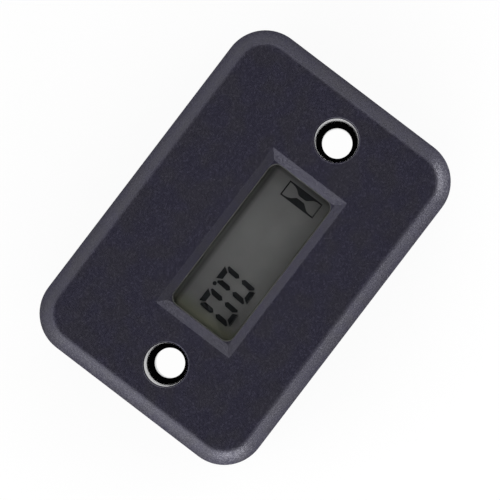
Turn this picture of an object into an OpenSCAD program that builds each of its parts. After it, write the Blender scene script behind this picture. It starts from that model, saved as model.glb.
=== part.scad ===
// Self-powered hour meter with a small liquid crystal display, fixed by two screws.
// It lies on its back. X runs along the display, Y up its figures and Z out of the face.
// The origin is the middle of the back rim. Sizes are in millimetres.

/* [Case] */
// Length of the case, along the display
case_length = 54; // [48:0.5:66]
// Width of the case, across the display
case_width = 36.85; // [32:0.05:44]
// Radius of the upright corners
corner_radius = 6; // [4.8:0.1:7.4]
// Thickness of the side walls
side_wall = 2.6; // [2.1:0.1:3.2]
// Thickness of the wall behind the face
face_wall = 2.1; // [1.7:0.1:3]
// Width of the slope round the face
edge_slope_width = 2; // [1:0.1:2.6]
// Drop of the slope round the face
edge_slope_drop = 2.2; // [1:0.1:2.4]
// Rounding between the slope and the sides
side_round = 0.4; // [0.1:0.05:0.7]
// Rounding between the slope and the face
face_round = 1; // [0.1:0.05:1.6]
// Rounding of the back rim
rim_round = 0.3; // [0.1:0.05:0.6]

/* [Screw holes] */
// Distance from each end of the case to the middle of its screw hole
hole_inset = 7.5; // [6.4:0.1:9.5]
// Radius of the bore for a mounting screw
bore_radius = 2.15; // [1.6:0.05:2.6]
// Radius of the recess for the screw head
recess_radius = 2.9; // [2.4:0.05:3.6]
// Thickness of the seat under the screw head, above the step that the gasket lies on
seat_thickness = 1; // [0.6:0.1:3]
// How much narrower the recess is at its floor
recess_draft = 0.05; // [0.02:0.01:0.2]
// Depth of the wider mouth of the recess
mouth_depth = 4.5; // [1:0.1:6]
// How much the mouth widens towards the face
mouth_flare = 0.15; // [0.1:0.05:0.5]
// Rounding between the mouth and the rest of the recess
mouth_blend = 4; // [1:0.5:8]
// Chamfer round the mouth
recess_chamfer = 0.2; // [0.05:0.05:0.4]
// Plastic round the recess, inside the case
boss_wall = 1.5; // [1.2:0.05:1.9]
// Step on the boss that the gasket lies on
boss_step = 1; // [0.6:0.05:1.3]
// Thickness of the web between a boss and the end wall
boss_web = 3; // [1.5:0.1:5]

/* [Window] */
// Flat land between the window and each screw recess
window_land = 2.75; // [2.05:0.05:3.85]
// Width of the window, across the display, with the slope round it
window_width = 12.9; // [11:0.1:15]
// How far the window and the screw holes lie above the middle of the case
display_offset = 1.2; // [0.5:0.1:1.8]
// Width of the slopes along the window
window_slope_width = 1.2; // [0.7:0.05:1.6]
// Width of the slopes at its ends
window_end_slope_width = 1.35; // [0.8:0.05:1.7]
// Depth of the slopes
window_slope_depth = 0.9; // [0.7:0.05:1.5]
// Rounding between the slopes and the face
window_mouth_round = 0.45; // [0.1:0.05:0.8]
// Radius of the corners of the window opening
window_corner_radius = 1.3; // [0.4:0.1:1.7]

/* [Window pane] */
// How far the pane lies below the foot of the window's slope
lens_setback = 0.35; // [0.1:0.05:0.5]
// Gap between the pane and the window opening
lens_clearance = 0.1; // [0.05:0.01:0.2]
// Width of the flange that is glued behind the face
lens_flange_width = 1.8; // [1.2:0.1:2.3]
// Thickness of that flange
lens_flange_thickness = 1; // [0.6:0.1:1.6]
// Thickness of the adhesive ring
adhesive_thickness = 0.15; // [0.05:0.01:0.3]
// How far the adhesive ring stays back from the edges of the flange
adhesive_margin = 0.15; // [0.05:0.01:0.3]

/* [Display] */
// Thickness of each glass plate
glass_thickness = 0.7; // [0.4:0.05:0.9]
// Gap between the glass plates
glass_gap = 0.1; // [0.05:0.01:0.15]
// Thickness of each polarising film
film_thickness = 0.2; // [0.1:0.01:0.3]
// How far the rear plate reaches past the window opening
rear_glass_margin = 0.5; // [0.3:0.05:0.9]
// How far the films stay back from the edge of what they are glued to
film_margin = 0.15; // [0.05:0.01:0.3]
// Width of the seal between the plates
seal_width = 0.6; // [0.3:0.05:0.8]
// How far the seal stays back from the edge of the rear plate
seal_margin = 0.2; // [0.05:0.05:0.3]

/* [Connector strips] */
// Height of the rubber strips between the board and the display
strip_height = 2.3; // [1.8:0.05:3]
// Width of the strips
strip_width = 1.3; // [0.9:0.05:1.7]
// How much shorter a strip is than the glass, at each end
strip_inset = 1.5; // [0.5:0.1:3]

/* [Display frame] */
// Wall of the frame beside the strips
frame_side_wall = 1.9; // [1.5:0.05:2.3]
// Wall of the frame at its ends
frame_end_wall = 1.1; // [0.8:0.05:1.4]
// Thickness of the lip over the glass
frame_lip = 0.4; // [0.3:0.05:0.6]
// How far the lip reaches over the ends of the glass
frame_lip_reach = 0.85; // [0.5:0.05:1]
// Radius of the pegs that hold the frame on the board
peg_radius = 0.6; // [0.4:0.05:0.7]
// How far the melted head of a peg stands out past the peg
peg_head_rim = 0.4; // [0.2:0.05:0.6]
// Thickness of the melted head
peg_head_thickness = 0.3; // [0.15:0.05:0.5]
// Gap between pieces that are laid into each other
fit_clearance = 0.1; // [0.05:0.01:0.15]

/* [Circuit board] */
// Thickness of the board
board_thickness = 1; // [0.6:0.1:1.6]
// Gap between the board and the case
board_clearance = 0.3; // [0.15:0.05:0.4]
// Radius of the posts that carry the board
post_radius = 1.9; // [1.5:0.05:2.2]
// Distance from the middle of a post to the side wall
post_wall_distance = 2.85; // [2.3:0.05:3.5]
// Thickness of the web between a post and the side wall
post_web = 1.2; // [0.8:0.1:2]
// How far the foot of that web stays clear of the board
post_web_gap = 1; // [0.3:0.1:2]
// Gap under the round-topped blob of resin over the controller
blob_gap = 0.3; // [0.15:0.05:0.6]
// Radius of the blob where it meets the board
blob_radius = 4; // [3:0.1:5]

/* [Board screws] */
// Radius of the thread
board_screw_radius = 0.75; // [0.6:0.05:0.9]
// Length under the head
board_screw_length = 4.2; // [3:0.1:5]
// Radius of the head
board_head_radius = 1.5; // [1.2:0.05:1.8]
// Height of the head
board_head_height = 1.1; // [0.8:0.05:1.4]

/* [Button cell] */
// Diameter of the cell
battery_diameter = 20; // [16:0.5:23]
// Height of the cell
battery_height = 3.2; // [2.5:0.1:4]
// Height of the cell's can, up to its rolled edge
battery_can_height = 2.8; // [2.2:0.05:3]
// Width of the rolled edge round the cap
battery_crimp = 1.1; // [0.6:0.05:1.5]
// Rounding of the can
battery_round = 0.4; // [0.1:0.05:0.6]
// How far the cell lies above the middle of the case
battery_offset = 1.5; // [0.5:0.1:2]
// Thickness of the welded tabs
tab_thickness = 0.15; // [0.1:0.01:0.2]
// Width of the tabs
tab_width = 3; // [2:0.1:4]
// Radius of the welded end of a tab
tab_pad_radius = 3.5; // [2.5:0.1:4.5]
// Gap between the cell and the upright leg of a tab
tab_gap = 0.8; // [0.4:0.05:1.2]
// How far a tab stands out of the board
tab_stub = 0.3; // [0.1:0.05:0.6]
// Thickness of the insulating disc between the cell and the board
insulator_thickness = 0.25; // [0.1:0.01:0.4]
// How far the insulating disc reaches past the cell
insulator_margin = 0.2; // [0.05:0.05:0.3]
// Thickness of the foam pad when it is pressed
foam_thickness = 0.8; // [0.5:0.05:1.5]
// How much smaller than the cell the foam pad is, all round
foam_margin = 2; // [1:0.1:4]

/* [Vibration switch] */
// Diameter of the can
switch_diameter = 3.6; // [2.5:0.1:4]
// Length of the can
switch_length = 6.5; // [5:0.1:7.5]
// Length of the lead at each end, up to its bend
switch_lead_reach = 0.7; // [0.5:0.05:0.9]
// Radius of the leads
switch_lead_radius = 0.25; // [0.15:0.05:0.35]
// Radius of the glass bead at each end
switch_bead_radius = 1; // [0.6:0.05:1.3]
// Length of that bead
switch_bead_length = 0.3; // [0.1:0.05:0.4]

/* [Clock crystal] */
// Diameter of the can
crystal_diameter = 2; // [1.5:0.1:2.6]
// Length of the can
crystal_length = 5.5; // [4.5:0.1:6.5]
// Length of the leads, up to their bend
crystal_lead_reach = 0.8; // [0.5:0.05:1.1]
// Radius of the leads
crystal_lead_radius = 0.15; // [0.1:0.01:0.2]
// Distance between the two leads
crystal_lead_pitch = 0.7; // [0.5:0.05:0.9]

/* [Chip parts] */
// Length of a chip capacitor or resistor
chip_length = 1.6; // [1:0.1:2]
// Width of a chip
chip_width = 0.8; // [0.5:0.05:1]
// Height of a capacitor
capacitor_height = 0.8; // [0.5:0.05:1]
// Height of a resistor
resistor_height = 0.45; // [0.3:0.05:0.6]
// Length of the metal at each end of a chip
chip_end = 0.3; // [0.2:0.05:0.4]
// How much thinner a chip is between its ends
chip_waist = 0.05; // [0.02:0.01:0.08]
// Space between chips
chip_space = 0.9; // [0.4:0.1:1.2]

/* [Back cover] */
// How far the cover lies inside the back rim
cover_recess = 0.2; // [0.05:0.05:0.5]
// Thickness of the cover
cover_thickness = 1.6; // [1.2:0.1:2.4]
// Gap round the cover
cover_clearance = 0.15; // [0.05:0.05:0.3]
// Wall of the case round the cover
rebate_wall = 1.4; // [1:0.05:1.7]
// Thickness of the gasket when it is clamped
gasket_thickness = 0.8; // [0.5:0.05:1.2]
// Wall of the ring that keeps the foam pad in place
pad_ring_wall = 0.8; // [0.5:0.05:1.2]
// Height of that ring
pad_ring_height = 0.4; // [0.2:0.05:0.6]

/* [Cover screws] */
// Radius of the thread
cover_screw_radius = 0.85; // [0.65:0.05:1]
// Length with the head
cover_screw_length = 8; // [5:0.1:10]
// Radius of the countersunk head
cover_head_radius = 1.85; // [1.5:0.05:2.3]
// Height of the countersunk head
cover_head_height = 0.95; // [0.6:0.05:1.15]
// Radius of the corner bosses that take the screws
corner_boss_radius = 2.2; // [1.7:0.05:2.6]
// Gap between a screw and the hole that it passes through
screw_clearance = 0.15; // [0.1:0.05:0.25]
// Gap between a screw thread and its plastic hole
thread_clearance = 0.05; // [0.02:0.01:0.08]
// Spare depth below the point of a screw
hole_spare = 0.4; // [0.2:0.1:0.8]
// Width of the cross slot in a screw head
cross_width = 0.4; // [0.25:0.05:0.6]
// Depth of the cross slot
cross_depth = 0.5; // [0.3:0.05:0.7]

/* [Hidden] */
$fn = 64;
overrun = 1;
arc_steps = 6;
dome_steps = 8;

// Figures on the display, as shares of the view or of a figure's own height or width
figure_height_share = 0.54;
figure_base_share = 0.32;
digit_right_share = 0.085;
digit_width_share = 0.5;
digit_pitch_share = 0.685;
digit_upright_share = 0.13;
digit_level_share = 0.145;
digit_gap_share = 0.021;
digit_waist_share = 0.035;
digit_clip_share = 0.045;
digit_slant = 3.8;
point_radius_share = 0.052;
point_place_share = 0.625;
icon_left_share = 0.0345;
icon_width_share = 0.43;
icon_line_share = 0.035;
// Half widths of the sand glass at some heights, as shares of the icon's width and height
bulb_shares = [[0.41, 0.965], [0.41, 0.85], [0.36, 0.77], [0.085, 0.615], [0.075, 0.5],
               [0.085, 0.385], [0.29, 0.28], [0.38, 0.19], [0.41, 0.1], [0.41, 0.035]];

// Heights, from the back to the face
cover_top = cover_recess + cover_thickness;
ledge_z = cover_top + gasket_thickness;
plus_tab_z = cover_top + foam_thickness;
battery_z = plus_tab_z + tab_thickness;
minus_tab_z = battery_z + battery_height;
insulator_z = minus_tab_z + tab_thickness;
board_back = insulator_z + insulator_thickness;
board_front = board_back + board_thickness;
front_glass_z = board_front + strip_height;
seal_z = front_glass_z - glass_gap;
rear_glass_z = seal_z - glass_thickness;
rear_film_z = rear_glass_z - film_thickness;
lip_z = front_glass_z + glass_thickness;
lens_z = lip_z + frame_lip;
adhesive_z = lens_z + lens_flange_thickness;
wall_back = adhesive_z + adhesive_thickness;
case_depth = wall_back + face_wall;
slope_foot = case_depth - window_slope_depth;
lens_top = slope_foot - lens_setback;
recess_floor = ledge_z + seat_thickness;

// Places across the face
hole_x = case_length / 2 - hole_inset;
mouth_radius = recess_radius + mouth_flare + recess_chamfer;
window_length = 2 * (hole_x - mouth_radius - window_land);
view_length = window_length - 2 * window_end_slope_width;
view_width = window_width - 2 * window_slope_width;

// Places inside the case
inner_length = case_length - 2 * side_wall;
inner_width = case_width - 2 * side_wall;
inner_radius = corner_radius - side_wall;
rebate_length = case_length - 2 * rebate_wall;
rebate_width = case_width - 2 * rebate_wall;
rebate_radius = corner_radius - rebate_wall;
boss_radius = recess_radius + boss_wall;
neck_radius = boss_radius - boss_step;
corner_x = case_length / 2 - corner_radius;
corner_y = case_width / 2 - corner_radius;

// Sizes of the display stack
frame_length = 2 * (hole_x - boss_radius - board_clearance);
frame_bay_length = frame_length - 2 * frame_end_wall;
glass_length = frame_bay_length - 2 * fit_clearance;
rear_glass_width = view_width + 2 * rear_glass_margin;
strip_y = rear_glass_width / 2 + fit_clearance + strip_width / 2;
front_glass_width = 2 * strip_y + strip_width;
frame_bay_width = front_glass_width + 2 * fit_clearance;
frame_width = frame_bay_width + 2 * frame_side_wall;
lip_length = glass_length - 2 * frame_lip_reach;
lip_width = rear_glass_width + 2 * fit_clearance;
peg_x = frame_length / 2 - frame_end_wall;
peg_y = (frame_bay_width + frame_width) / 4;

// Places on the board
board_length = inner_length - 2 * board_clearance;
board_width = inner_width - 2 * board_clearance;
post_x = (frame_length / 2 + corner_x - corner_boss_radius) / 2;
post_y = inner_width / 2 - post_wall_distance;
posts = [for (x = [-post_x, post_x], y = [-post_y, post_y]) [x, y]];
wing_x = (frame_length / 2 + inner_length / 2) / 2;
upper_wing_y = (display_offset + boss_radius + corner_y - corner_boss_radius) / 2;
lower_wing_y = (display_offset - boss_radius - corner_y + corner_boss_radius) / 2;
blob_height = rear_film_z - board_front - blob_gap;
battery_radius = battery_diameter / 2;
tab_leg = battery_radius + tab_gap;
foam_radius = battery_radius - foam_margin;
lead_margin = switch_lead_radius + board_clearance;

function unit(v) = v / norm(v);

// Points of the arc that rounds the corner b of an outline between a and c
function corner_arc(a, b, c, radius) =
    let (u = unit(a - b), w = unit(c - b), half_angle = acos(u * w) / 2,
         middle = b + unit(u + w) * radius / sin(half_angle),
         from = b + u * radius / tan(half_angle) - middle,
         to = b + w * radius / tan(half_angle) - middle)
    [for (i = [0 : arc_steps]) middle + radius * unit(from + (to - from) * i / arc_steps)];

// An outline with each corner rounded by its own radius, where 0 keeps it sharp
function rounded_outline(points, radii) =
    let (count = len(points))
    [for (i = [0 : count - 1])
        each radii[i] > 0
            ? corner_arc(points[(i + count - 1) % count], points[i], points[(i + 1) % count], radii[i])
            : [points[i]]];

module rounded_rect(length, width, radius) {
    square([length - 2 * radius, width], center = true);
    square([length, width - 2 * radius], center = true);
    for (x = [-1, 1], y = [-1, 1])
        translate([x * (length / 2 - radius), y * (width / 2 - radius)]) circle(radius);
}

module rounded_plate(length, width, radius, height) {
    linear_extrude(height) rounded_rect(length, width, radius);
}

// A block with round upright corners, whose section from the corner's axis outwards is the profile
module profiled_block(length, width, radius, height, profile) {
    core_length = length - 2 * radius;
    core_width = width - 2 * radius;
    translate([-core_length / 2, -core_width / 2, 0]) cube([core_length, core_width, height]);
    for (turn = [0 : 90 : 270]) {
        across = turn % 180 == 0 ? core_length : core_width;
        along = turn % 180 == 0 ? core_width : core_length;
        rotate(turn) translate([across / 2, along / 2, 0]) {
            rotate([90, 0, 0]) linear_extrude(along) polygon(profile);
            rotate_extrude(angle = 90) polygon(profile);
        }
    }
}

// The window's pit, with four flat slopes that meet on the diagonals and round over to the face
module sloped_pit() {
    intersection() {
        rotate([90, 0, 0]) linear_extrude(window_width * 2, center = true)
            pit_section(window_length, window_end_slope_width);
        rotate([90, 0, 90]) linear_extrude(window_length * 2, center = true)
            pit_section(window_width, window_slope_width);
    }
}

module pit_section(length, slope_width) {
    foot = [length / 2 - slope_width, slope_foot];
    mouth = corner_arc(foot, [length / 2, case_depth], [length / 2 + slope_width, case_depth],
                       window_mouth_round);
    right_side = concat([foot], mouth, [[mouth[arc_steps].x, case_depth + overrun]]);
    left_side = [for (i = [len(right_side) - 1 : -1 : 0]) [-right_side[i].x, right_side[i].y]];
    polygon(concat(right_side, left_side));
}

// Outline of the two bosses for the mounting screws, with a web to each end wall
module mounting_boss_outline(grow, web) {
    for (side = [-1, 1]) translate([side * hole_x, display_offset]) {
        circle(boss_radius + grow);
        translate([side * hole_inset / 2, 0]) square([hole_inset, web], center = true);
    }
}

// Outline of the four corner bosses, solid out to the walls
module corner_boss_outline(grow) {
    radius = corner_boss_radius + grow;
    for (x = [-1, 1], y = [-1, 1]) translate([x * corner_x, y * corner_y]) {
        circle(radius);
        translate([x * corner_radius / 2, y * (corner_radius - radius) / 2])
            square([corner_radius, corner_radius + radius], center = true);
        translate([x * (corner_radius - radius) / 2, y * corner_radius / 2])
            square([corner_radius + radius, corner_radius], center = true);
    }
}

module cavity_outline() {
    difference() {
        rounded_rect(inner_length, inner_width, inner_radius);
        mounting_boss_outline(0, boss_web);
        corner_boss_outline(0);
    }
}

module at_mounting_holes() {
    for (side = [-1, 1]) translate([side * hole_x, display_offset, 0]) children();
}

module at_corners() {
    for (x = [-1, 1], y = [-1, 1]) translate([x * corner_x, y * corner_y, 0]) children();
}

module at_posts() {
    for (place = posts) translate([place.x, place.y, 0]) children();
}

// The moulded housing
module front_case() {
    outer = rounded_outline(
        [[0, 0], [corner_radius, 0], [corner_radius, case_depth - edge_slope_drop],
         [corner_radius - edge_slope_width, case_depth], [0, case_depth]],
        [0, rim_round, side_round, face_round, 0]);
    color([0.16, 0.16, 0.19]) difference() {
        union() {
            difference() {
                profiled_block(case_length, case_width, corner_radius, case_depth, outer);
                translate([0, 0, -overrun]) linear_extrude(ledge_z + overrun) difference() {
                    rounded_rect(rebate_length, rebate_width, rebate_radius);
                    for (side = [-1, 1]) translate([side * hole_x, display_offset]) circle(neck_radius);
                }
                translate([0, 0, ledge_z]) linear_extrude(wall_back - ledge_z) cavity_outline();
            }
            at_posts() translate([0, 0, board_front])
                cylinder(h = wall_back + face_wall / 2 - board_front, r = post_radius);
            post_webs();
        }
        window_cut();
        at_mounting_holes() screw_recess();
        at_corners() cylinder(h = cover_recess + cover_screw_length + hole_spare,
                              r = cover_screw_radius + thread_clearance);
        at_posts() translate([0, 0, board_front - overrun])
            cylinder(h = board_back + board_screw_length + hole_spare - board_front + overrun,
                     r = board_screw_radius + thread_clearance);
    }
}

module post_webs() {
    foot = board_front + post_web_gap;
    for (place = posts) {
        wall_y = sign(place.y) * (inner_width + side_wall) / 2;
        translate([place.x - post_web / 2, min(place.y, wall_y), foot])
            cube([post_web, abs(wall_y - place.y), wall_back + face_wall / 2 - foot]);
    }
}

module window_cut() {
    translate([0, display_offset, 0]) {
        sloped_pit();
        translate([0, 0, wall_back - overrun])
            rounded_plate(view_length, view_width, window_corner_radius,
                          slope_foot - wall_back + 2 * overrun);
    }
}

module screw_recess() {
    translate([0, 0, -overrun]) cylinder(h = case_depth + 2 * overrun, r = bore_radius);
    rotate_extrude() polygon(rounded_outline(
        [[0, recess_floor], [recess_radius - recess_draft, recess_floor],
         [recess_radius, case_depth - mouth_depth],
         [recess_radius + mouth_flare, case_depth - recess_chamfer],
         [mouth_radius, case_depth], [mouth_radius, case_depth + overrun], [0, case_depth + overrun]],
        [0, 0, mouth_blend, 0, 0, 0, 0]));
}

// The clear pane, stepped so that it fills the opening from behind
module window_lens() {
    color([0.85, 0.88, 0.9, 0.4]) translate([0, display_offset, 0]) {
        translate([0, 0, lens_z])
            rounded_plate(view_length + 2 * lens_flange_width, view_width + 2 * lens_flange_width,
                          window_corner_radius, lens_flange_thickness);
        translate([0, 0, lens_z])
            rounded_plate(view_length - 2 * lens_clearance, view_width - 2 * lens_clearance,
                          window_corner_radius - lens_clearance, lens_top - lens_z);
    }
}

module lens_adhesive() {
    outer_margin = 2 * (lens_flange_width - adhesive_margin);
    color([0.75, 0.75, 0.72]) translate([0, display_offset, adhesive_z])
        linear_extrude(adhesive_thickness) difference() {
            rounded_rect(view_length + outer_margin, view_width + outer_margin, window_corner_radius);
            rounded_rect(view_length + 2 * adhesive_margin, view_width + 2 * adhesive_margin,
                         window_corner_radius);
        }
}

// A flat plate of the display, by its length, width, height above the rim and thickness
module display_plate(length, width, foot, thickness) {
    translate([-length / 2, display_offset - width / 2, foot]) cube([length, width, thickness]);
}

module lcd_front_polariser() {
    color([0.36, 0.37, 0.34, 0.6])
        display_plate(lip_length - 2 * film_margin, lip_width - 2 * film_margin, lip_z, film_thickness);
}

module lcd_front_glass() {
    color([0.8, 0.85, 0.82, 0.4])
        display_plate(glass_length, front_glass_width, front_glass_z, glass_thickness);
}

module lcd_rear_glass() {
    color([0.8, 0.85, 0.82, 0.4])
        display_plate(glass_length, rear_glass_width, rear_glass_z, glass_thickness);
}

module lcd_rear_polariser() {
    color([0.36, 0.36, 0.35])
        display_plate(glass_length - 2 * film_margin, rear_glass_width - 2 * film_margin,
                      rear_film_z, film_thickness);
}

module lcd_seal() {
    inner_margin = 2 * (seal_margin + seal_width);
    color([0.3, 0.3, 0.3]) translate([0, display_offset, seal_z]) linear_extrude(glass_gap) difference() {
        square([glass_length - 2 * seal_margin, rear_glass_width - 2 * seal_margin], center = true);
        square([glass_length - inner_margin, rear_glass_width - inner_margin], center = true);
    }
}

// The dark figures: two noughts, the point between them and a sand glass
module lcd_segments() {
    figure_height = view_width * figure_height_share;
    digit_right = view_length * (1 / 2 - digit_right_share);
    icon_left = view_length * (icon_left_share - 1 / 2);
    base = display_offset + view_width * (figure_base_share - 1 / 2);
    color([0.09, 0.09, 0.09]) translate([0, base, seal_z]) linear_extrude(glass_gap) {
        for (place = [0, 1])
            translate([digit_right - figure_height * (digit_width_share + place * digit_pitch_share), 0])
                nought(figure_height);
        translate([digit_right - figure_height * point_place_share, figure_height * point_radius_share])
            circle(figure_height * point_radius_share);
        translate([icon_left, 0]) sand_glass(figure_height * icon_width_share, figure_height);
    }
}

// A nought of six segments with mitred ends, leaning a little to the right
module nought(height) {
    width = height * digit_width_share;
    upright = height * digit_upright_share;
    level = height * digit_level_share;
    gap = height * digit_gap_share;
    waist = height * digit_waist_share;
    clip = height * digit_clip_share;
    half = height / 2;
    side_segment = [[0, half - waist - upright / 2], [upright / 2, half - waist],
                    [upright, half - waist - upright / 2], [upright, level + gap],
                    [clip, clip + gap], [0, clip + 2 * gap]];
    end_segment = [[clip + gap, 0], [width - clip - gap, 0],
                   [width - upright - gap, level], [upright + gap, level]];
    for (flip_x = [false, true], flip_y = [false, true])
        polygon([for (p = side_segment) leaning(flip_x ? width - p.x : p.x, flip_y ? height - p.y : p.y)]);
    for (flip_y = [false, true])
        polygon([for (p = end_segment) leaning(p.x, flip_y ? height - p.y : p.y)]);
}

function leaning(x, y) = [x + y * tan(digit_slant), y];

module sand_glass(width, height) {
    line = height * icon_line_share;
    right_side = [for (p = bulb_shares) [width * (1 / 2 + p.x), height * p.y]];
    left_side = [for (i = [len(bulb_shares) - 1 : -1 : 0])
        [width * (1 / 2 - bulb_shares[i].x), height * bulb_shares[i].y]];
    difference() {
        square([width, height]);
        polygon(concat(right_side, left_side));
    }
}

// The frame that presses the display and its strips onto the board
module lcd_frame() {
    color([0.13, 0.13, 0.14]) {
        difference() {
            display_plate(frame_length, frame_width, board_front, lens_z - board_front);
            display_plate(frame_bay_length, frame_bay_width, board_front - overrun,
                          lip_z - board_front + overrun);
            display_plate(lip_length, lip_width, lip_z - overrun, frame_lip + 2 * overrun);
        }
        at_pegs() {
            translate([0, 0, board_back])
                cylinder(h = board_thickness + strip_height / 2, r = peg_radius);
            translate([0, 0, board_back - peg_head_thickness])
                cylinder(h = peg_head_thickness, r = peg_radius + peg_head_rim);
        }
    }
}

module at_pegs() {
    for (x = [-peg_x, peg_x], y = [-peg_y, peg_y]) translate([x, display_offset + y, 0]) children();
}

module connector_strip(side) {
    strip_length = glass_length - 2 * strip_inset;
    color([0.55, 0.5, 0.5]) translate([-strip_length / 2, display_offset + side * strip_y, board_front])
        translate([0, -strip_width / 2, 0]) cube([strip_length, strip_width, strip_height]);
}

module upper_connector_strip() {
    connector_strip(1);
}

module lower_connector_strip() {
    connector_strip(-1);
}

// The board, notched round the bosses of the case
module circuit_board() {
    color([0.1, 0.32, 0.16]) translate([0, 0, board_back]) linear_extrude(board_thickness)
        difference() {
            square([board_length, board_width], center = true);
            mounting_boss_outline(board_clearance, 2 * (boss_radius + board_clearance));
            corner_boss_outline(board_clearance);
            for (place = posts)
                translate(place) circle(board_screw_radius + screw_clearance);
            for (x = [-peg_x, peg_x], y = [-peg_y, peg_y])
                translate([x, display_offset + y]) circle(peg_radius + thread_clearance);
            for (side = [-1, 1])
                translate([0, battery_offset + side * (tab_leg + tab_thickness / 2)])
                    square([tab_width + 2 * fit_clearance, tab_thickness + 2 * fit_clearance],
                           center = true);
        }
}

// A blob of black resin over the bare controller chip
module controller_blob() {
    dome_radius = (blob_radius * blob_radius + blob_height * blob_height) / (2 * blob_height);
    dome_angle = asin(blob_radius / dome_radius);
    dome = [for (i = [0 : dome_steps]) let (angle = dome_angle * i / dome_steps)
        [dome_radius * sin(angle), blob_height - dome_radius * (1 - cos(angle))]];
    color([0.05, 0.05, 0.05]) translate([0, display_offset, board_front])
        rotate_extrude() polygon(concat([[0, 0]], dome));
}

// A sealed can that lies on the face of the board, with its two leads bent down to it
module clock_crystal() {
    radius = crystal_diameter / 2;
    outer_end = board_length / 2 - board_clearance;
    inner_end = outer_end - crystal_length;
    lead_x = inner_end - crystal_lead_reach;
    color([0.75, 0.75, 0.77]) translate([0, lower_wing_y, board_front + radius]) {
        translate([-outer_end, 0, 0]) rotate([0, 90, 0]) cylinder(h = crystal_length, r = radius);
        for (side = [-1, 1]) translate([0, side * crystal_lead_pitch / 2, 0]) {
            translate([-inner_end - radius / 2, 0, 0]) rotate([0, 90, 0])
                cylinder(h = crystal_lead_reach + radius / 2, r = crystal_lead_radius);
            translate([-lead_x, 0, -radius]) cylinder(h = radius, r = crystal_lead_radius);
            translate([-lead_x, 0, 0]) sphere(crystal_lead_radius);
        }
    }
}

// A sealed can with a rolling contact, on the back of the board
module vibration_switch() {
    radius = switch_diameter / 2;
    lead_end = switch_length / 2 + switch_bead_length + switch_lead_reach;
    middle_x = inner_length / 2 - lead_margin - lead_end;
    color([0.78, 0.74, 0.62]) translate([middle_x, lower_wing_y, board_back - radius]) {
        rotate([0, 90, 0]) {
            cylinder(h = switch_length, r = radius, center = true);
            cylinder(h = switch_length + 2 * switch_bead_length, r = switch_bead_radius, center = true);
            cylinder(h = 2 * lead_end, r = switch_lead_radius, center = true);
        }
        for (side = [-1, 1]) translate([side * lead_end, 0, 0]) {
            cylinder(h = radius, r = switch_lead_radius);
            sphere(switch_lead_radius);
        }
    }
}

// A chip with a metal cap at each end, lying along X
module chip(height) {
    for (side = [-1, 1])
        translate([side * (chip_length - chip_end) / 2 - chip_end / 2, -chip_width / 2, 0])
            cube([chip_end, chip_width, height]);
    translate([chip_end / 2 - chip_length / 2, chip_waist - chip_width / 2, 0])
        cube([chip_length - chip_end, chip_width - 2 * chip_waist, height - chip_waist]);
}

module chip_row(middle_x, count, height) {
    pitch = chip_length + chip_space;
    for (i = [0 : count - 1])
        translate([middle_x + (i - (count - 1) / 2) * pitch, upper_wing_y, board_front]) chip(height);
}

module capacitors() {
    color([0.62, 0.5, 0.36]) chip_row(wing_x, 2, capacitor_height);
}

module resistors() {
    color([0.1, 0.1, 0.1]) chip_row(-wing_x, 3, resistor_height);
}

module cross_slot(reach, depth) {
    for (turn = [0, 90]) rotate(turn)
        translate([-reach / 2, -cross_width / 2, 0]) cube([reach, cross_width, depth]);
}

module board_screws() {
    color([0.72, 0.72, 0.74]) at_posts() translate([0, 0, board_back]) {
        cylinder(h = board_screw_length, r = board_screw_radius);
        difference() {
            translate([0, 0, -board_head_height]) cylinder(h = board_head_height, r = board_head_radius);
            translate([0, 0, -board_head_height - overrun])
                cross_slot(board_head_radius, cross_depth + overrun);
        }
    }
}

module battery_insulator() {
    color([0.85, 0.8, 0.62]) translate([0, battery_offset, insulator_z])
        cylinder(h = insulator_thickness, r = battery_radius + insulator_margin);
}

// A welded tab: a round pad on the cell, a strip to its edge and a leg up through the board
module battery_tab(side, foot) {
    color([0.8, 0.8, 0.8]) translate([0, battery_offset, foot]) {
        cylinder(h = tab_thickness, r = tab_pad_radius);
        translate([-tab_width / 2, min(0, side * (tab_leg + tab_thickness)), 0])
            cube([tab_width, tab_leg + tab_thickness, tab_thickness]);
        translate([-tab_width / 2, side * (tab_leg + tab_thickness / 2) - tab_thickness / 2, 0])
            cube([tab_width, tab_thickness, board_front + tab_stub - foot]);
    }
}

module battery_minus_tab() {
    battery_tab(-1, minus_tab_z);
}

module battery_plus_tab() {
    battery_tab(1, plus_tab_z);
}

module coin_cell() {
    cap_radius = battery_radius - battery_crimp;
    color([0.82, 0.82, 0.83]) translate([0, battery_offset, battery_z]) rotate_extrude()
        polygon(rounded_outline(
            [[0, 0], [battery_radius, 0], [battery_radius, battery_can_height],
             [cap_radius, battery_can_height], [cap_radius, battery_height], [0, battery_height]],
            [0, battery_round, battery_round, 0, (battery_height - battery_can_height) / 2, 0]));
}

module battery_foam_pad() {
    color([0.25, 0.25, 0.25]) translate([0, battery_offset, cover_top])
        cylinder(h = foam_thickness, r = foam_radius);
}

// A flat rubber ring on the ledge, with an eyelet round each mounting boss
module rear_gasket() {
    color([0.08, 0.08, 0.08]) translate([0, 0, cover_top]) linear_extrude(gasket_thickness)
        difference() {
            rounded_rect(rebate_length - 2 * cover_clearance, rebate_width - 2 * cover_clearance,
                         rebate_radius - cover_clearance);
            cavity_outline();
            for (side = [-1, 1])
                translate([side * hole_x, display_offset]) circle(neck_radius + cover_clearance);
            for (x = [-1, 1], y = [-1, 1])
                translate([x * corner_x, y * corner_y]) circle(cover_screw_radius + screw_clearance);
        }
}

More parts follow.
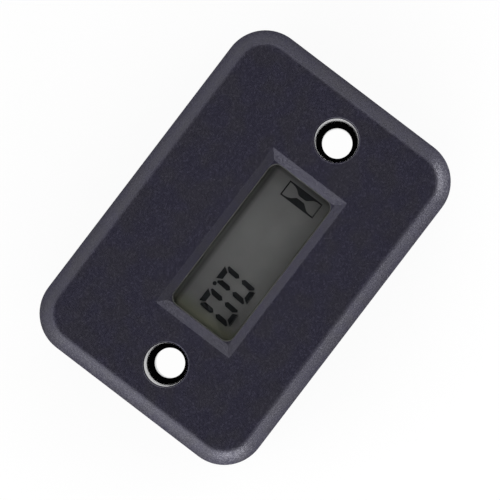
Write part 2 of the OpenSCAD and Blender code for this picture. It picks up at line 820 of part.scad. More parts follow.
// The plate that closes the back, laid into the rim
module rear_cover() {
    ring_radius = foam_radius + screw_clearance;
    sink_radius = cover_head_radius + thread_clearance;
    shank_radius = cover_screw_radius + screw_clearance;
    color([0.14, 0.14, 0.16]) translate([0, 0, cover_recess]) difference() {
        union() {
            rounded_plate(rebate_length - 2 * cover_clearance, rebate_width - 2 * cover_clearance,
                          rebate_radius - cover_clearance, cover_thickness);
            translate([0, battery_offset, 0]) difference() {
                cylinder(h = cover_thickness + pad_ring_height, r = ring_radius + pad_ring_wall);
                translate([0, 0, cover_thickness])
                    cylinder(h = pad_ring_height + overrun, r = ring_radius);
            }
        }
        at_mounting_holes() translate([0, 0, -overrun])
            cylinder(h = cover_thickness + 2 * overrun, r = neck_radius + cover_clearance);
        at_corners() {
            translate([0, 0, -overrun]) cylinder(h = cover_thickness + 2 * overrun, r = shank_radius);
            cylinder(h = cover_head_height + thread_clearance, r1 = sink_radius, r2 = shank_radius);
        }
    }
}

module cover_screws() {
    color([0.6, 0.6, 0.62]) at_corners() translate([0, 0, cover_recess]) difference() {
        union() {
            cylinder(h = cover_head_height, r1 = cover_head_radius, r2 = cover_screw_radius);
            cylinder(h = cover_screw_length, r = cover_screw_radius);
        }
        translate([0, 0, -overrun]) cross_slot(cover_head_radius, cross_depth + overrun);
    }
}

front_case();
window_lens();
lens_adhesive();
lcd_front_polariser();
lcd_front_glass();
lcd_seal();
lcd_segments();
lcd_rear_glass();
lcd_rear_polariser();
lcd_frame();
upper_connector_strip();
lower_connector_strip();
circuit_board();
controller_blob();
clock_crystal();
vibration_switch();
capacitors();
resistors();
board_screws();
battery_insulator();
battery_minus_tab();
coin_cell();
battery_plus_tab();
battery_foam_pad();
rear_gasket();
rear_cover();
cover_screws();
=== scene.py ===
"""A self-powered hour meter for a small engine, seen from above its face.

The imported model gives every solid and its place. This script finishes them: it rounds the edges
that a mould leaves round, gives each piece its material, and sets floor, light and camera.
"""

import math

import bmesh
import bpy
from mathutils import Matrix, Vector


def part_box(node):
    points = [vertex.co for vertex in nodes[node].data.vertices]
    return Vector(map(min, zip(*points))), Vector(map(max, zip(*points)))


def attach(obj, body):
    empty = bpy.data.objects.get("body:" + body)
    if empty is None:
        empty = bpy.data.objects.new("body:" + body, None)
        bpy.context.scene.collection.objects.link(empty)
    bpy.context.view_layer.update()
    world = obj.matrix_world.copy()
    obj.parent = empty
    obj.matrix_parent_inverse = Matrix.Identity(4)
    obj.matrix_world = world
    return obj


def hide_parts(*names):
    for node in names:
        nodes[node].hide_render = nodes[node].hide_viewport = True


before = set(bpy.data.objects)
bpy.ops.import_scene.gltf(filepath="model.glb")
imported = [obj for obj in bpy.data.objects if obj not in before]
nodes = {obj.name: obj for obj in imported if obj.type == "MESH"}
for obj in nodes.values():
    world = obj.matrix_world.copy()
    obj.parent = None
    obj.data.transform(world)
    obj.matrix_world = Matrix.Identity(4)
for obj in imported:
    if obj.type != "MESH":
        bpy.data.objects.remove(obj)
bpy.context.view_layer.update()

# Front case: one injection moulding in black ABS that carries all the other pieces. Its mould
# was spark eroded, which leaves a fine dull grain on the face, on the slope round it and in the
# window pit. The pins that form the screw holes are polished.

MM = 0.001

noise_band = (0.3, 0.7)  # nearly all of a noise lies in this band
middle_band = (0.35, 0.65)  # the middle of it, for a stronger contrast
cool_shine = (0.85, 0.84, 1.0)  # the plastic's reflections are a little blue


def add(owner, kind, inputs=None, **settings):
    """Adds one shader node and sets or links its inputs."""
    node = owner.node_tree.nodes.new(kind)
    for name, value in settings.items():
        setattr(node, name, value)
    for name, value in (inputs or {}).items():
        if isinstance(value, bpy.types.NodeSocket):
            owner.node_tree.links.new(value, node.inputs[name])
        else:
            node.inputs[name].default_value = value
    return node


def start_material(name):
    """An empty material, with the coordinates of the whole meter in metres."""
    material = bpy.data.materials.new(name)
    material.use_nodes = True
    material.node_tree.nodes.clear()
    place = add(material, "ShaderNodeTexCoord").outputs["Object"]
    return material, place


def finish_material(material, surface):
    """Puts the last shader on the material's output."""
    add(material, "ShaderNodeOutputMaterial", {"Surface": surface.outputs[0]})
    return material


def work_out(owner, operation, *terms):
    """One sum with values of the material, such as ADD or MULTIPLY."""
    return add(owner, "ShaderNodeMath", dict(enumerate(terms)), operation=operation).outputs[0]


def split(owner, place):
    """The x, y and z of a place or a direction."""
    return add(owner, "ShaderNodeSeparateXYZ", {"Vector": place}).outputs


def noise(material, place, lump_size, detail=3.0, harshness=0.55):
    """Cloudy noise whose lumps are about lump_size across."""
    return add(material, "ShaderNodeTexNoise",
               {"Vector": place, "Scale": 1 / lump_size, "Detail": detail,
                "Roughness": harshness}).outputs[0]


def spread(owner, value, old, new):
    """Maps the range old of a value to the range new, and holds it there."""
    return add(owner, "ShaderNodeMapRange",
               {"Value": value, "From Min": old[0], "From Max": old[1],
                "To Min": new[0], "To Max": new[1]}).outputs[0]


def opaque(colour):
    """A red, green and blue written in the script, with the alpha that a socket needs."""
    return colour if isinstance(colour, bpy.types.NodeSocket) else (*colour, 1)


def blend_colours(material, share, first, second, blend_type="MIX"):
    """first where share is 0 and second where it is 1, or first tinted by it."""
    return add(material, "ShaderNodeMix", {0: share, 6: opaque(first), 7: opaque(second)},
               data_type="RGBA", blend_type=blend_type).outputs[2]


def bump(material, height, depth, strength=1.0):
    """The relief of a surface, where height is 0 to 1 and depth is the drop in metres."""
    return add(material, "ShaderNodeBump",
               {"Height": height, "Distance": depth, "Strength": strength}).outputs[0]


def grained_plastic(name, dark, light, grain_size, grain_depth, dull, wear=None, patches=None):
    """Black moulded plastic with the grain that spark erosion leaves. dull is its range of
    roughness. wear changes that from place to place, and patches tint some of the surface."""
    material, place = start_material(name)
    grain = noise(material, place, grain_size, harshness=0.6)
    clouds = noise(material, place, 12 * grain_size, detail=2.0)
    tone = spread(material, clouds, noise_band, (0, 0.25))
    grain_tops = spread(material, grain, (0.55, 0.68), (0, 1))
    colour = blend_colours(material, tone, dark, light)
    colour = blend_colours(material, grain_tops, colour, light)
    if patches:
        patch_size, patch_tint = patches
        patch_noise = noise(material, place, patch_size, detail=1.0)
        patch_share = spread(material, patch_noise, (0.42, 0.62), (0, 1))
        colour = blend_colours(material, patch_share, colour, patch_tint, "MULTIPLY")
    roughness = spread(material, grain, middle_band, dull)
    grain_left = 1.0
    if wear:
        roughness, grain_left = wear(material, place, grain, roughness)
    shine = add(material, "ShaderNodeBsdfPrincipled",
                {"Base Color": colour, "Roughness": roughness,
                 "Specular Tint": opaque(cool_shine),
                 "Normal": bump(material, grain, grain_depth, grain_left)})
    return finish_material(material, shine)


def dress(node_name, material):
    """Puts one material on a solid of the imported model."""
    mesh = nodes[node_name].data
    mesh.materials.clear()
    mesh.materials.append(material)


def round_edges(node_name, width, sharpest=30):
    """Rounds the sharp edges of a solid and shades its curves smooth."""
    node = nodes[node_name]
    for face in node.data.polygons:
        face.use_smooth = True
    weld = node.modifiers.new("join the faces", "WELD")
    weld.merge_threshold = 0.001 * MM
    flats = node.modifiers.new("whole flat faces", "DECIMATE")
    flats.decimate_type = "DISSOLVE"
    flats.angle_limit = math.radians(0.5)
    rounding = node.modifiers.new("round the edges", "BEVEL")
    rounding.width = width
    rounding.segments = 2
    rounding.limit_method = "ANGLE"
    rounding.angle_limit = math.radians(sharpest)
    rounding.use_clamp_overlap = False
    shading = node.modifiers.new("flat faces stay flat", "WEIGHTED_NORMAL")
    shading.weight = 100
    shading.keep_sharp = False


face_height = 14.0 * MM
slope_foot = 11.8 * MM
below_face = (face_height - 0.1 * MM, face_height - 0.3 * MM)
below_pit = face_height - 0.8 * MM
face_roughness = (0.41, 0.52)
foot_dullness = 0.36

hole_place = (19.5 * MM, 1.2 * MM, 0)  # the other hole is its mirror image in x
hole_polish = 0.9
polished_reach = (3.20 * MM, 3.25 * MM)


def polished_holes(material, place):
    """High inside the two screw holes and zero everywhere else."""
    axes = split(material, place)
    either_end = work_out(material, "ABSOLUTE", axes["X"])
    flat = add(material, "ShaderNodeCombineXYZ", {0: either_end, 1: axes["Y"]}).outputs[0]
    distance = add(material, "ShaderNodeVectorMath", {0: flat, 1: hole_place},
                   operation="DISTANCE").outputs["Value"]
    return spread(material, distance, polished_reach, (hole_polish, 0))


def case_wear(material, place, grain, roughness):
    """The roughness of the case and how much of its grain is left: the face is even, the slope
    gets duller towards its foot, and the screw holes are polished."""
    height = split(material, place)["Z"]
    off_face = spread(material, height, below_face, (0, 1))
    on_face = spread(material, grain, middle_band, face_roughness)
    roughness = add(material, "ShaderNodeMix", {0: off_face, 2: on_face, 3: roughness}).outputs[0]
    duller = spread(material, height, (below_pit, slope_foot), (0, foot_dullness))
    roughness = work_out(material, "ADD", roughness, duller)
    grain_left = work_out(material, "SUBTRACT", 1.0, polished_holes(material, place))
    return work_out(material, "MULTIPLY", roughness, grain_left), grain_left


case_plastic = grained_plastic("case_plastic", dark=(0.0064, 0.0054, 0.0140),
                               light=(0.0168, 0.0150, 0.0296), grain_size=0.30 * MM,
                               grain_depth=0.07 * MM, dull=(0.3, 0.64), wear=case_wear,
                               patches=(3.5 * MM, (1.03, 1.04, 0.78)))
dress("front_case", case_plastic)
round_edges("front_case", width=0.05 * MM)

# Window pane and its adhesive: a stepped pane of clear acrylic fills the window from behind.
# Its flange is glued to the back of the face with a ring of clear adhesive, which keeps water
# out and rises in the narrow joint round the pane.


def clear_surface(name, clear_tint, cloudy_tint, index, cloud_size, side_grey=None):
    """A clear surface: it shows what lies behind it, and its top reflects as its index says.
    Its sides are left a little frosted by the mould, where side_grey is given."""
    material, place = start_material(name)
    clouds = noise(material, place, cloud_size, detail=2.0)
    tint = blend_colours(material, spread(material, clouds, middle_band, (0, 1)),
                         clear_tint, cloudy_tint)
    shine = add(material, "ShaderNodeBsdfGlossy", {"Color": (1, 1, 1, 1), "Roughness": 0.0})
    through = add(material, "ShaderNodeBsdfTransparent", {"Color": tint})
    fresnel = add(material, "ShaderNodeFresnel", {"IOR": index}).outputs[0]
    # upward is 1 on the top, 0 on the sides and -1 on the underside.
    geometry = add(material, "ShaderNodeNewGeometry").outputs
    upward = split(material, geometry["True Normal"])["Z"]
    outside = work_out(material, "SUBTRACT", 1.0, geometry["Backfacing"])
    top = spread(material, upward, (0.3, 0.6), (0, 1))
    mirrored = work_out(material, "MULTIPLY", fresnel, outside)
    mirrored = work_out(material, "MULTIPLY", mirrored, top)
    surface = add(material, "ShaderNodeMixShader",
                  {0: mirrored, 1: through.outputs[0], 2: shine.outputs[0]})
    if side_grey:
        upright = work_out(material, "ABSOLUTE", upward)
        frosted = spread(material, upright, (0.1, 0.3), (0.7, 0))
        frost = add(material, "ShaderNodeBsdfDiffuse", {"Color": opaque(side_grey)})
        surface = add(material, "ShaderNodeMixShader",
                      {0: frosted, 1: surface.outputs[0], 2: frost.outputs[0]})
    return finish_material(material, surface)


def mottled(name, dark, light, lump_size, roughness, depth=0.0, detail=3.0, harshness=0.55,
            gloss=0.5):
    """A material whose colour, roughness and relief all follow one noise."""
    material, place = start_material(name)
    lumps = noise(material, place, lump_size, detail, harshness)
    shine = add(material, "ShaderNodeBsdfPrincipled",
                {"Base Color": blend_colours(material, lumps, dark, light),
                 "Roughness": spread(material, lumps, noise_band, roughness),
                 "Specular IOR Level": gloss})
    if depth:
        relief = bump(material, lumps, depth)
        material.node_tree.links.new(relief, shine.inputs["Normal"])
    return finish_material(material, shine)


pane_acrylic = clear_surface("pane_acrylic", clear_tint=(0.99, 0.99, 0.99),
                             cloudy_tint=(0.98, 0.982, 0.978), index=1.38,
                             cloud_size=1.5 * MM, side_grey=(0.34, 0.34, 0.33))
dress("window_lens", pane_acrylic)
round_edges("window_lens", width=0.05 * MM)

dress("lens_adhesive", mottled("cured_adhesive", dark=(0.5, 0.5, 0.46), light=(0.62, 0.62, 0.58),
                               lump_size=0.8 * MM, roughness=(0.25, 0.4), depth=0.03 * MM))

lens_low, lens_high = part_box("window_lens")
flange_width = Vector((1.9 * MM, 1.9 * MM, 0))
pane_corner = 1.2 * MM
joint_width = 0.1 * MM
joint_foot = lens_high.z - 0.9 * MM
joint_top = lens_high.z - 0.12 * MM
corner_steps = 8
quarter_turn = math.pi / 2


def new_piece(name, shape):
    """A new object with the mesh that shape holds."""
    mesh = bpy.data.meshes.new(name)
    shape.to_mesh(mesh)
    shape.free()
    piece = bpy.data.objects.new(name, mesh)
    bpy.context.scene.collection.objects.link(piece)
    return piece


def joint_bead(name, low, high, radius, width, foot, top):
    """The adhesive that rises in the joint round the pane, as a thin closed ring."""
    shape = bmesh.new()
    rows = []
    for turn in range(4):
        start = turn * quarter_turn
        corner = Vector((math.cos(start + quarter_turn / 2), math.sin(start + quarter_turn / 2)))
        middle = Vector((high.x - radius if corner.x > 0 else low.x + radius,
                         high.y - radius if corner.y > 0 else low.y + radius))
        for step in range(corner_steps + 1):
            bend = start + step / corner_steps * quarter_turn
            away = Vector((math.cos(bend), math.sin(bend)))
            inner = middle + away * radius
            outer = middle + away * (radius + width)
            rows.append([shape.verts.new((*at, z)) for at, z in
                         ((inner, foot), (outer, foot), (outer, top), (inner, top))])
    for row, following in zip(rows, rows[1:] + rows[:1]):
        for i in range(4):
            shape.faces.new((row[i], following[i], following[(i + 1) % 4], row[(i + 1) % 4]))
    bmesh.ops.recalc_face_normals(shape, faces=shape.faces)
    return new_piece(name, shape)


bead = joint_bead("pane_bead", lens_low + flange_width, lens_high - flange_width, pane_corner,
                  joint_width, joint_foot, joint_top)
bead.data.materials.append(mottled("bead_of_adhesive", dark=(0.16, 0.16, 0.15),
                                   light=(0.24, 0.24, 0.23), lump_size=0.6 * MM,
                                   roughness=(0.4, 0.5)))
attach(bead, "root")

# Display: two glass plates hold the liquid crystal. The rear one carries the grey reflector
# film, whose light the dark figures block. The front plate and its polarising film are one
# laminate, which is made here as one clear block with a step where the film ends.

along, across = "X", "Y"
# Each band of painted shade or painted light is its axis, where it begins and where it is full in
# mm, and the share of the grey left there: under 1 is painted shade, over 1 painted light.
painted_shade_and_light_bands = ((across, 1.0, -2.0, 1.22), (across, -2.7, -3.4, 0.43),
                (across, -3.45, -3.7, 1.3), (across, 3.2, 6.2, 0.76),
                (along, -6.0, -9.5, 1.14), (along, -9.5, -11.8, 0.8),
                (along, -11.4, -11.8, 0.6), (along, 8.5, 10.0, 1.2),
                (along, 11.5, 12.0, 0.57))
olive_reach = (9.6 * MM, 11.4 * MM)


def grey_field_with_painted_shade(name, grey, olive):
    """The display's grey, with painted shade at its edges, painted light in bands and an olive
    right end.
    """
    material, place = start_material(name)
    axes = split(material, place)
    painted_shading = 1.0
    # Painted shade and painted light: the grey is scaled down near the window's edges and up in
    # some bands.
    for axis, begins, full, left in painted_shade_and_light_bands:
        shade = spread(material, axes[axis], (begins * MM, full * MM), (1, left))
        painted_shading = work_out(material, "MULTIPLY", painted_shading, shade)
    film_grain = noise(material, place, 0.35 * MM)
    clouds = noise(material, place, 6 * MM, detail=1.0)
    cloudy_grey = [0.94 * g for g in grey]
    tone = blend_colours(material, spread(material, clouds, middle_band, (0, 1)),
                         cloudy_grey, grey)
    tone = add(material, "ShaderNodeVectorMath", {0: tone, "Scale": painted_shading},
               operation="SCALE").outputs[0]
    at_end = spread(material, axes[along], olive_reach, (0, 1))
    tone = blend_colours(material, at_end, tone, olive, "MULTIPLY")
    shine = add(material, "ShaderNodeBsdfPrincipled",
                {"Base Color": tone, "Specular IOR Level": 0.1,
                 "Roughness": spread(material, film_grain, middle_band, (0.5, 0.62)),
                 "Normal": bump(material, film_grain, 0.0006 * MM)})
    return finish_material(material, shine)


# The display's grey carries painted shade at the window's edges and painted light in some bands.
display_grey_painted_shade = grey_field_with_painted_shade("display_grey_painted_shade", grey=(0.153, 0.152, 0.154), olive=(0.93, 0.95, 0.72))
dress("lcd_rear_glass", display_grey_painted_shade)
dress("lcd_rear_polariser", display_grey_painted_shade)
dress("lcd_seal", mottled("seal_resin", dark=(0.05, 0.05, 0.045), light=(0.075, 0.075, 0.07),
                          lump_size=0.3 * MM, roughness=(0.4, 0.6), depth=0.01 * MM))
dress("lcd_segments", mottled("figure_dark", dark=(0.0125, 0.0136, 0.0152),
                              light=(0.0150, 0.0158, 0.0186), lump_size=2.5 * MM,
                              roughness=(0.45, 0.55), detail=1.0, gloss=0.1))


def stepped_block(name, levels, clip):
    """A closed block from rectangles (low corner, high corner, height), with clipped corners."""
    shape = bmesh.new()
    rings = []
    for low, high, height in levels:
        corners = [(low.x + clip, low.y), (high.x - clip, low.y),
                   (high.x, low.y + clip), (high.x, high.y - clip),
                   (high.x - clip, high.y), (low.x + clip, high.y),
                   (low.x, high.y - clip), (low.x, low.y + clip)]
        rings.append([shape.verts.new((x, y, height)) for x, y in corners])
    for lower, upper in zip(rings, rings[1:]):
        for i in range(len(lower)):
            j = (i + 1) % len(lower)
            shape.faces.new((lower[i], lower[j], upper[j], upper[i]))
    shape.faces.new(reversed(rings[0]))
    shape.faces.new(rings[-1])
    return new_piece(name, shape)


glass_low, glass_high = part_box("lcd_front_glass")
film_low, film_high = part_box("lcd_front_polariser")
ground_edge = Vector((0.06 * MM, 0.06 * MM, 0))
front_plate = stepped_block(
    "display_front_plate",
    [(glass_low + ground_edge, glass_high - ground_edge, glass_low.z),
     (glass_low, glass_high, glass_low.z + ground_edge.x),
     (glass_low, glass_high, glass_high.z - ground_edge.x),
     (glass_low + ground_edge, glass_high - ground_edge, glass_high.z),
     (film_low, film_high, glass_high.z),
     (film_low, film_high, film_high.z)],
    clip=0.15 * MM)
front_plate.data.materials.append(
    clear_surface("polarised_glass", clear_tint=(0.955, 0.955, 0.955),
                  cloudy_tint=(0.94, 0.942, 0.938), index=1.02, cloud_size=2.5 * MM))
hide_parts("lcd_front_glass", "lcd_front_polariser")
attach(front_plate, "root")

# Display frame and connector strips: a black moulded frame presses the display down on two
# rubber strips. In each strip, layers with carbon alternate with plain ones and carry the
# signals up from the board.

dress("lcd_frame", grained_plastic("frame_plastic", dark=(0.012, 0.012, 0.013),
                                   light=(0.02, 0.02, 0.022), grain_size=0.3 * MM,
                                   grain_depth=0.01 * MM, dull=(0.3, 0.42)))
round_edges("lcd_frame", width=0.04 * MM)

wave_length = 0.314  # of Blender's wave texture at scale 1
layer_pitch = 0.18 * MM
carbon_black = (0.02, 0.02, 0.02)
plain_rubber = (0.55, 0.33, 0.33)
strip_rubber, place = start_material("striped_rubber")
layers = add(strip_rubber, "ShaderNodeTexWave",
             {"Vector": place, "Scale": wave_length / layer_pitch, "Distortion": 0.4,
              "Detail": 1.0}, wave_type="BANDS", bands_direction="X")
plain_layer = spread(strip_rubber, layers.outputs[1], (0.45, 0.55), (0, 1))
strip_shine = add(strip_rubber, "ShaderNodeBsdfPrincipled",
                  {"Base Color": blend_colours(strip_rubber, plain_layer, carbon_black,
                                               plain_rubber),
                   "Roughness": spread(strip_rubber, plain_layer, (0, 1), (0.62, 0.5)),
                   "Normal": bump(strip_rubber, plain_layer, 0.004 * MM)})
finish_material(strip_rubber, strip_shine)
dress("upper_connector_strip", strip_rubber)
dress("lower_connector_strip", strip_rubber)

# Circuit board: a glass laminate board with copper tracks under green lacquer. It rests on four
# posts of the case, and small steel screws hold it.

weave_pitch = 0.5 * MM
track_length = 4.0 * MM
lacquer_dark = (0.008, 0.075, 0.028)
lacquer_light = (0.014, 0.11, 0.042)
lacquered_copper = (0.022, 0.16, 0.06)
board_laminate, place = start_material("board_laminate")
weave = add(board_laminate, "ShaderNodeTexWave",
            {"Vector": place, "Scale": wave_length / weave_pitch, "Distortion": 0.6,
             "Detail": 2.0}, wave_type="BANDS", bands_direction="DIAGONAL").outputs[1]
tracks = add(board_laminate, "ShaderNodeTexBrick",
             {"Vector": place, "Scale": 1 / track_length, "Mortar Size": 0.045,
              "Mortar Smooth": 0.1, "Brick Width": 0.9, "Row Height": 0.32}).outputs[1]
lacquer = blend_colours(board_laminate, spread(board_laminate, weave, (0, 1), (0, 0.35)),
                        lacquer_dark, lacquer_light)
lacquer = blend_colours(board_laminate, tracks, lacquer, lacquered_copper)
board_shine = add(board_laminate, "ShaderNodeBsdfPrincipled",
                  {"Base Color": lacquer,
                   "Roughness": spread(board_laminate, weave, (0, 1), (0.28, 0.38)),
                   "Normal": bump(board_laminate, tracks, 0.03 * MM)})
dress("circuit_board", finish_material(board_laminate, board_shine))

# Parts on the board: the bare controller chip is under a blob of black resin. Crystal and
# vibration switch are drawn metal cans with soldered leads, and the small chips are ceramic
# with tinned ends.

dress("controller_blob", mottled("black_resin", dark=(0.006, 0.006, 0.006),
                                 light=(0.011, 0.011, 0.012), lump_size=1.2 * MM,
                                 roughness=(0.18, 0.3), depth=0.03 * MM, detail=1.0))
round_edges("controller_blob", width=0.03 * MM, sharpest=50)


def worked_metal(name, dark, light, mark_size, dull, depth):
    """Metal with the fine marks of drawing or turning along its surface."""
    material, place = start_material(name)
    marks = noise(material, place, mark_size, detail=5.0, harshness=0.7)
    stains = noise(material, place, 12 * mark_size, detail=2.0)
    colour = blend_colours(material, spread(material, stains, noise_band, (0, 1)), dark, light)
    metal = add(material, "ShaderNodeBsdfPrincipled",
                {"Base Color": colour, "Metallic": 1.0,
                 "Roughness": spread(material, marks, noise_band, dull),
                 "Normal": bump(material, marks, depth)})
    return finish_material(material, metal)


nickel = worked_metal("nickel", dark=(0.5, 0.48, 0.43), light=(0.66, 0.64, 0.6),
                      mark_size=0.12 * MM, dull=(0.2, 0.34), depth=0.003 * MM)
for can in ("clock_crystal", "vibration_switch"):
    dress(can, nickel)
    round_edges(can, width=0.04 * MM)

tin = (0.62, 0.6, 0.56)
tin_thickness = 0.04 * MM  # the tinned ends stand this far above the ceramic


def tinned_ceramic(name, body_colour, node_name):
    """Chip ceramic, with tin where the solid is at its full height."""
    material, place = start_material(name)
    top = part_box(node_name)[1].z
    height = split(material, place)["Z"]
    grit = noise(material, place, 0.1 * MM)
    ceramic = spread(material, height, (top - tin_thickness, top - tin_thickness / 2), (1, 0))
    pale_body = [1.3 * c for c in body_colour]
    colour = blend_colours(material, spread(material, grit, noise_band, (0, 0.5)),
                           body_colour, pale_body)
    colour = blend_colours(material, ceramic, tin, colour)
    shine = add(material, "ShaderNodeBsdfPrincipled",
                {"Base Color": colour, "Roughness": spread(material, grit, noise_band, (0.35, 0.5)),
                 "Normal": bump(material, grit, 0.004 * MM)})
    dress(node_name, finish_material(material, shine))


tinned_ceramic("capacitor_ceramic", (0.30, 0.19, 0.10), "capacitors")
tinned_ceramic("resistor_ceramic", (0.012, 0.012, 0.013), "resistors")

screw_steel = worked_metal("screw_steel", dark=(0.34, 0.34, 0.35), light=(0.5, 0.5, 0.51),
                           mark_size=0.15 * MM, dull=(0.24, 0.4), depth=0.004 * MM)
dress("board_screws", screw_steel)
round_edges("board_screws", width=0.04 * MM)

# Button cell: its steel can is nickel plated, with a rolled edge round the cap. Two welded tabs
# join it to the board, a coated paper disc insulates it and a foam pad presses it down.

dress("coin_cell", worked_metal("cell_steel", dark=(0.56, 0.55, 0.53), light=(0.7, 0.69, 0.67),
                                mark_size=0.25 * MM, dull=(0.16, 0.28), depth=0.002 * MM))
round_edges("coin_cell", width=0.05 * MM)
for tab in ("battery_minus_tab", "battery_plus_tab"):
    dress(tab, nickel)

dress("battery_insulator", mottled("coated_paper", dark=(0.62, 0.5, 0.24),
                                   light=(0.74, 0.64, 0.36), lump_size=0.25 * MM,
                                   roughness=(0.45, 0.65), depth=0.01 * MM, detail=6.0,
                                   harshness=0.7))

foam_skin = (0.03, 0.03, 0.03)
foam_wall = (0.06, 0.06, 0.06)
pore_size = 0.3 * MM
foam, place = start_material("closed_cell_foam")
pores = add(foam, "ShaderNodeTexVoronoi", {"Vector": place, "Scale": 1 / pore_size}).outputs[0]
foam_shine = add(foam, "ShaderNodeBsdfPrincipled",
                 {"Base Color": blend_colours(foam, pores, foam_skin, foam_wall),
                  "Roughness": spread(foam, pores, (0, 1), (0.8, 0.95)),
                  "Normal": bump(foam, pores, 0.06 * MM)})
dress("battery_foam_pad", finish_material(foam, foam_shine))

# Rear gasket: a flat ring of punched rubber with an eyelet round each mounting boss. The cover
# clamps it against the ledge of the case.

dress("rear_gasket", mottled("gasket_rubber", dark=(0.012, 0.012, 0.012),
                             light=(0.024, 0.024, 0.024), lump_size=0.6 * MM,
                             roughness=(0.6, 0.8), depth=0.01 * MM, detail=4.0))

# Rear cover and its screws: the cover is a flat moulding in the same plastic, a little smoother
# than the case. Four countersunk steel screws hold it in the corner bosses.

dress("rear_cover", grained_plastic("cover_plastic", dark=(0.012, 0.0115, 0.015),
                                    light=(0.024, 0.023, 0.029), grain_size=0.3 * MM,
                                    grain_depth=0.02 * MM, dull=(0.36, 0.48)))
round_edges("rear_cover", width=0.08 * MM)
dress("cover_screws", screw_steel)
round_edges("cover_screws", width=0.04 * MM)

# Floor: a pale table top. Where the camera or a reflection sees it, most of its white is its own,
# so that it is as pale as the photograph's ground; the rest is lit and keeps the meter's shadow.
# Under the meter, where the screw holes show it, all of the white is its own.

floor_size = 3.0
floor_drop = 0.02 * MM
case_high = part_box("front_case")[1]
hidden_margin = 1 * MM
open_share, hidden_share = 0.93, 1.0
table_dark = (0.93, 0.93, 0.93)
table_light = (0.95, 0.95, 0.95)
own_white = (0.983, 0.983, 0.983)

floor_shape = bmesh.new()
bmesh.ops.create_grid(floor_shape, x_segments=8, y_segments=8, size=floor_size / 2)
floor = new_piece("floor", floor_shape)
floor.location.z = -floor_drop

table_top, place = start_material("pale_table")
fleck = noise(table_top, place, 8 * MM, detail=2.0)
lit = add(table_top, "ShaderNodeBsdfDiffuse",
          {"Color": blend_colours(table_top, fleck, table_dark, table_light)})
own = add(table_top, "ShaderNodeEmission", {"Color": opaque(own_white), "Strength": 1.0})
table_axes = split(table_top, place)
from_middle_x = work_out(table_top, "ABSOLUTE", table_axes["X"])
from_middle_y = work_out(table_top, "ABSOLUTE", table_axes["Y"])
under_x = work_out(table_top, "LESS_THAN", from_middle_x, case_high.x - hidden_margin)
under_y = work_out(table_top, "LESS_THAN", from_middle_y, case_high.y - hidden_margin)
under_meter = work_out(table_top, "MULTIPLY", under_x, under_y)
own_share = spread(table_top, under_meter, (0, 1), (open_share, hidden_share))
ray = add(table_top, "ShaderNodeLightPath").outputs
seen = work_out(table_top, "MAXIMUM", ray["Is Camera Ray"], ray["Is Glossy Ray"])
seen = work_out(table_top, "MAXIMUM", seen, ray["Is Transmission Ray"])
top_side = add(table_top, "ShaderNodeMixShader",
               {0: work_out(table_top, "MULTIPLY", seen, own_share), 1: lit.outputs[0],
                2: own.outputs[0]})
from_below = add(table_top, "ShaderNodeNewGeometry").outputs["Backfacing"]
nothing = add(table_top, "ShaderNodeBsdfTransparent", {"Color": (1, 1, 1, 1)})
one_sided = add(table_top, "ShaderNodeMixShader",
                {0: from_below, 1: top_side.outputs[0], 2: nothing.outputs[0]})
floor.data.materials.append(finish_material(table_top, one_sided))

# Light: a tent of white cloth, lit from outside. It is dark straight above, where the camera
# looks in, and bright low down, most of all beyond both ends of the meter and its lower side.
# Four low strips on the table light the slope round the face.

# Each pair is a height, from 0 straight below to 1 straight above, and the cloth's grey there.
cloth_greys = ((0.0, 0.3), (0.45, 0.33), (0.54, 0.36), (0.6, 0.8), (0.67, 1.15), (0.75, 0.9),
               (0.85, 0.45), (0.9, 0.23), (0.95, 0.05), (0.98, 0.012), (1.0, 0.01))
cloth_strength = 1.72
ends_gain = 2.5
brighter_side = (0.4, -1.0, 0.0)
left_shade = 5.5
left_shade_falloff = 8.0

tent = bpy.data.worlds.new("light_tent")
tent.use_nodes = True
tent.node_tree.nodes.clear()
bpy.context.scene.world = tent
direction = add(tent, "ShaderNodeTexCoord").outputs["Generated"]
rightward = split(tent, direction)["X"]
skyward = split(tent, direction)["Z"]
cloth = add(tent, "ShaderNodeValToRGB", {"Fac": spread(tent, skyward, (-1, 1), (0, 1))})
cloth.color_ramp.interpolation = "LINEAR"
while len(cloth.color_ramp.elements) < len(cloth_greys):
    cloth.color_ramp.elements.new(0.5)
for element, (at, grey) in zip(cloth.color_ramp.elements, cloth_greys):
    element.position = at
    element.color = opaque((grey, grey, grey))
low_down = work_out(tent, "SUBTRACT", 1.0, skyward)
lean = add(tent, "ShaderNodeVectorMath", {0: direction, 1: brighter_side},
           operation="DOT_PRODUCT").outputs["Value"]
lean = work_out(tent, "MULTIPLY", lean, low_down)
both_ends = work_out(tent, "MULTIPLY", rightward, rightward)
strength = work_out(tent, "MULTIPLY_ADD", both_ends, ends_gain, cloth_strength)
strength = work_out(tent, "ADD", strength, lean)
leftward = work_out(tent, "MINIMUM", rightward, 0.0)
lowest = work_out(tent, "POWER", low_down, left_shade_falloff)
shade = work_out(tent, "MULTIPLY", leftward, lowest)
strength = work_out(tent, "MULTIPLY_ADD", shade, left_shade, strength)
glow = add(tent, "ShaderNodeBackground", {"Color": cloth.outputs[0], "Strength": strength})
add(tent, "ShaderNodeOutputWorld", {"Surface": glow.outputs[0]})

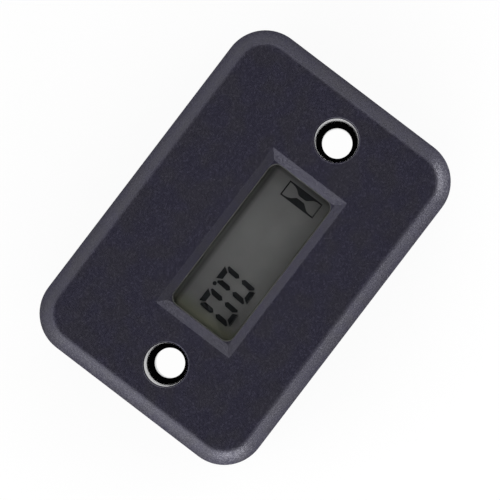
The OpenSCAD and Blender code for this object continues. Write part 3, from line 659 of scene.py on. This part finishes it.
strip_length = 50 * MM
strip_height = 11 * MM
strip_gap = 1 * MM
strip_distance = 70 * MM


def side_strip(name, heading, radiance):
    """A low strip of light on the table, below the level of the face, turned to the meter."""
    strip = bpy.data.lights.new(name, "AREA")
    strip.shape = "RECTANGLE"
    strip.size = strip_length
    strip.size_y = strip_height
    strip.energy = radiance * math.pi * strip_length * strip_height
    lamp = bpy.data.objects.new(name, strip)
    outward = Vector((math.cos(math.radians(heading)), math.sin(math.radians(heading)), 0))
    lamp.location = outward * strip_distance + Vector((0, 0, strip_height / 2 + strip_gap))
    lamp.rotation_euler = outward.to_track_quat("Z", "Y").to_euler()
    lamp.visible_camera = False
    bpy.context.scene.collection.objects.link(lamp)


side_strip("strip_right", heading=0, radiance=3.8)
side_strip("strip_upper_right", heading=45, radiance=14.7)
side_strip("strip_upper", heading=90, radiance=4.4)
side_strip("strip_upper_left", heading=135, radiance=13.4)
bpy.context.scene.view_settings.view_transform = "Standard"

# Camera: the photograph was taken from straight above, with the meter turned on the table. The
# place of the case's middle in the picture and its scale there give the camera's own place.

picture_size = 500
middle_in_picture = (244.66, 247.51)
pixels_per_metre = 7200
focal_pixels = 3489
outline_height = 12.2 * MM
towards_camera = Vector((-0.0126, 0.032, 1)).normalized()
picture_right = Vector((-0.606, 0.795, 0))
picture_right -= picture_right.project(towards_camera)
picture_right.normalize()
picture_up = towards_camera.cross(picture_right)
aim = Vector((0, 0, outline_height))
aim += picture_right * (picture_size / 2 - middle_in_picture[0]) / pixels_per_metre
aim -= picture_up * (picture_size / 2 - middle_in_picture[1]) / pixels_per_metre
camera = bpy.data.objects.new("camera", bpy.data.cameras.new("camera"))
camera.data.sensor_width = 36
camera.data.lens = camera.data.sensor_width * focal_pixels / picture_size
camera.data.clip_start = 0.01
camera.data.clip_end = 10
turned = Matrix((picture_right, picture_up, towards_camera)).transposed().to_4x4()
camera.matrix_world = Matrix.Translation(
    aim + towards_camera * focal_pixels / pixels_per_metre) @ turned
bpy.context.scene.collection.objects.link(camera)
bpy.context.scene.camera = camera
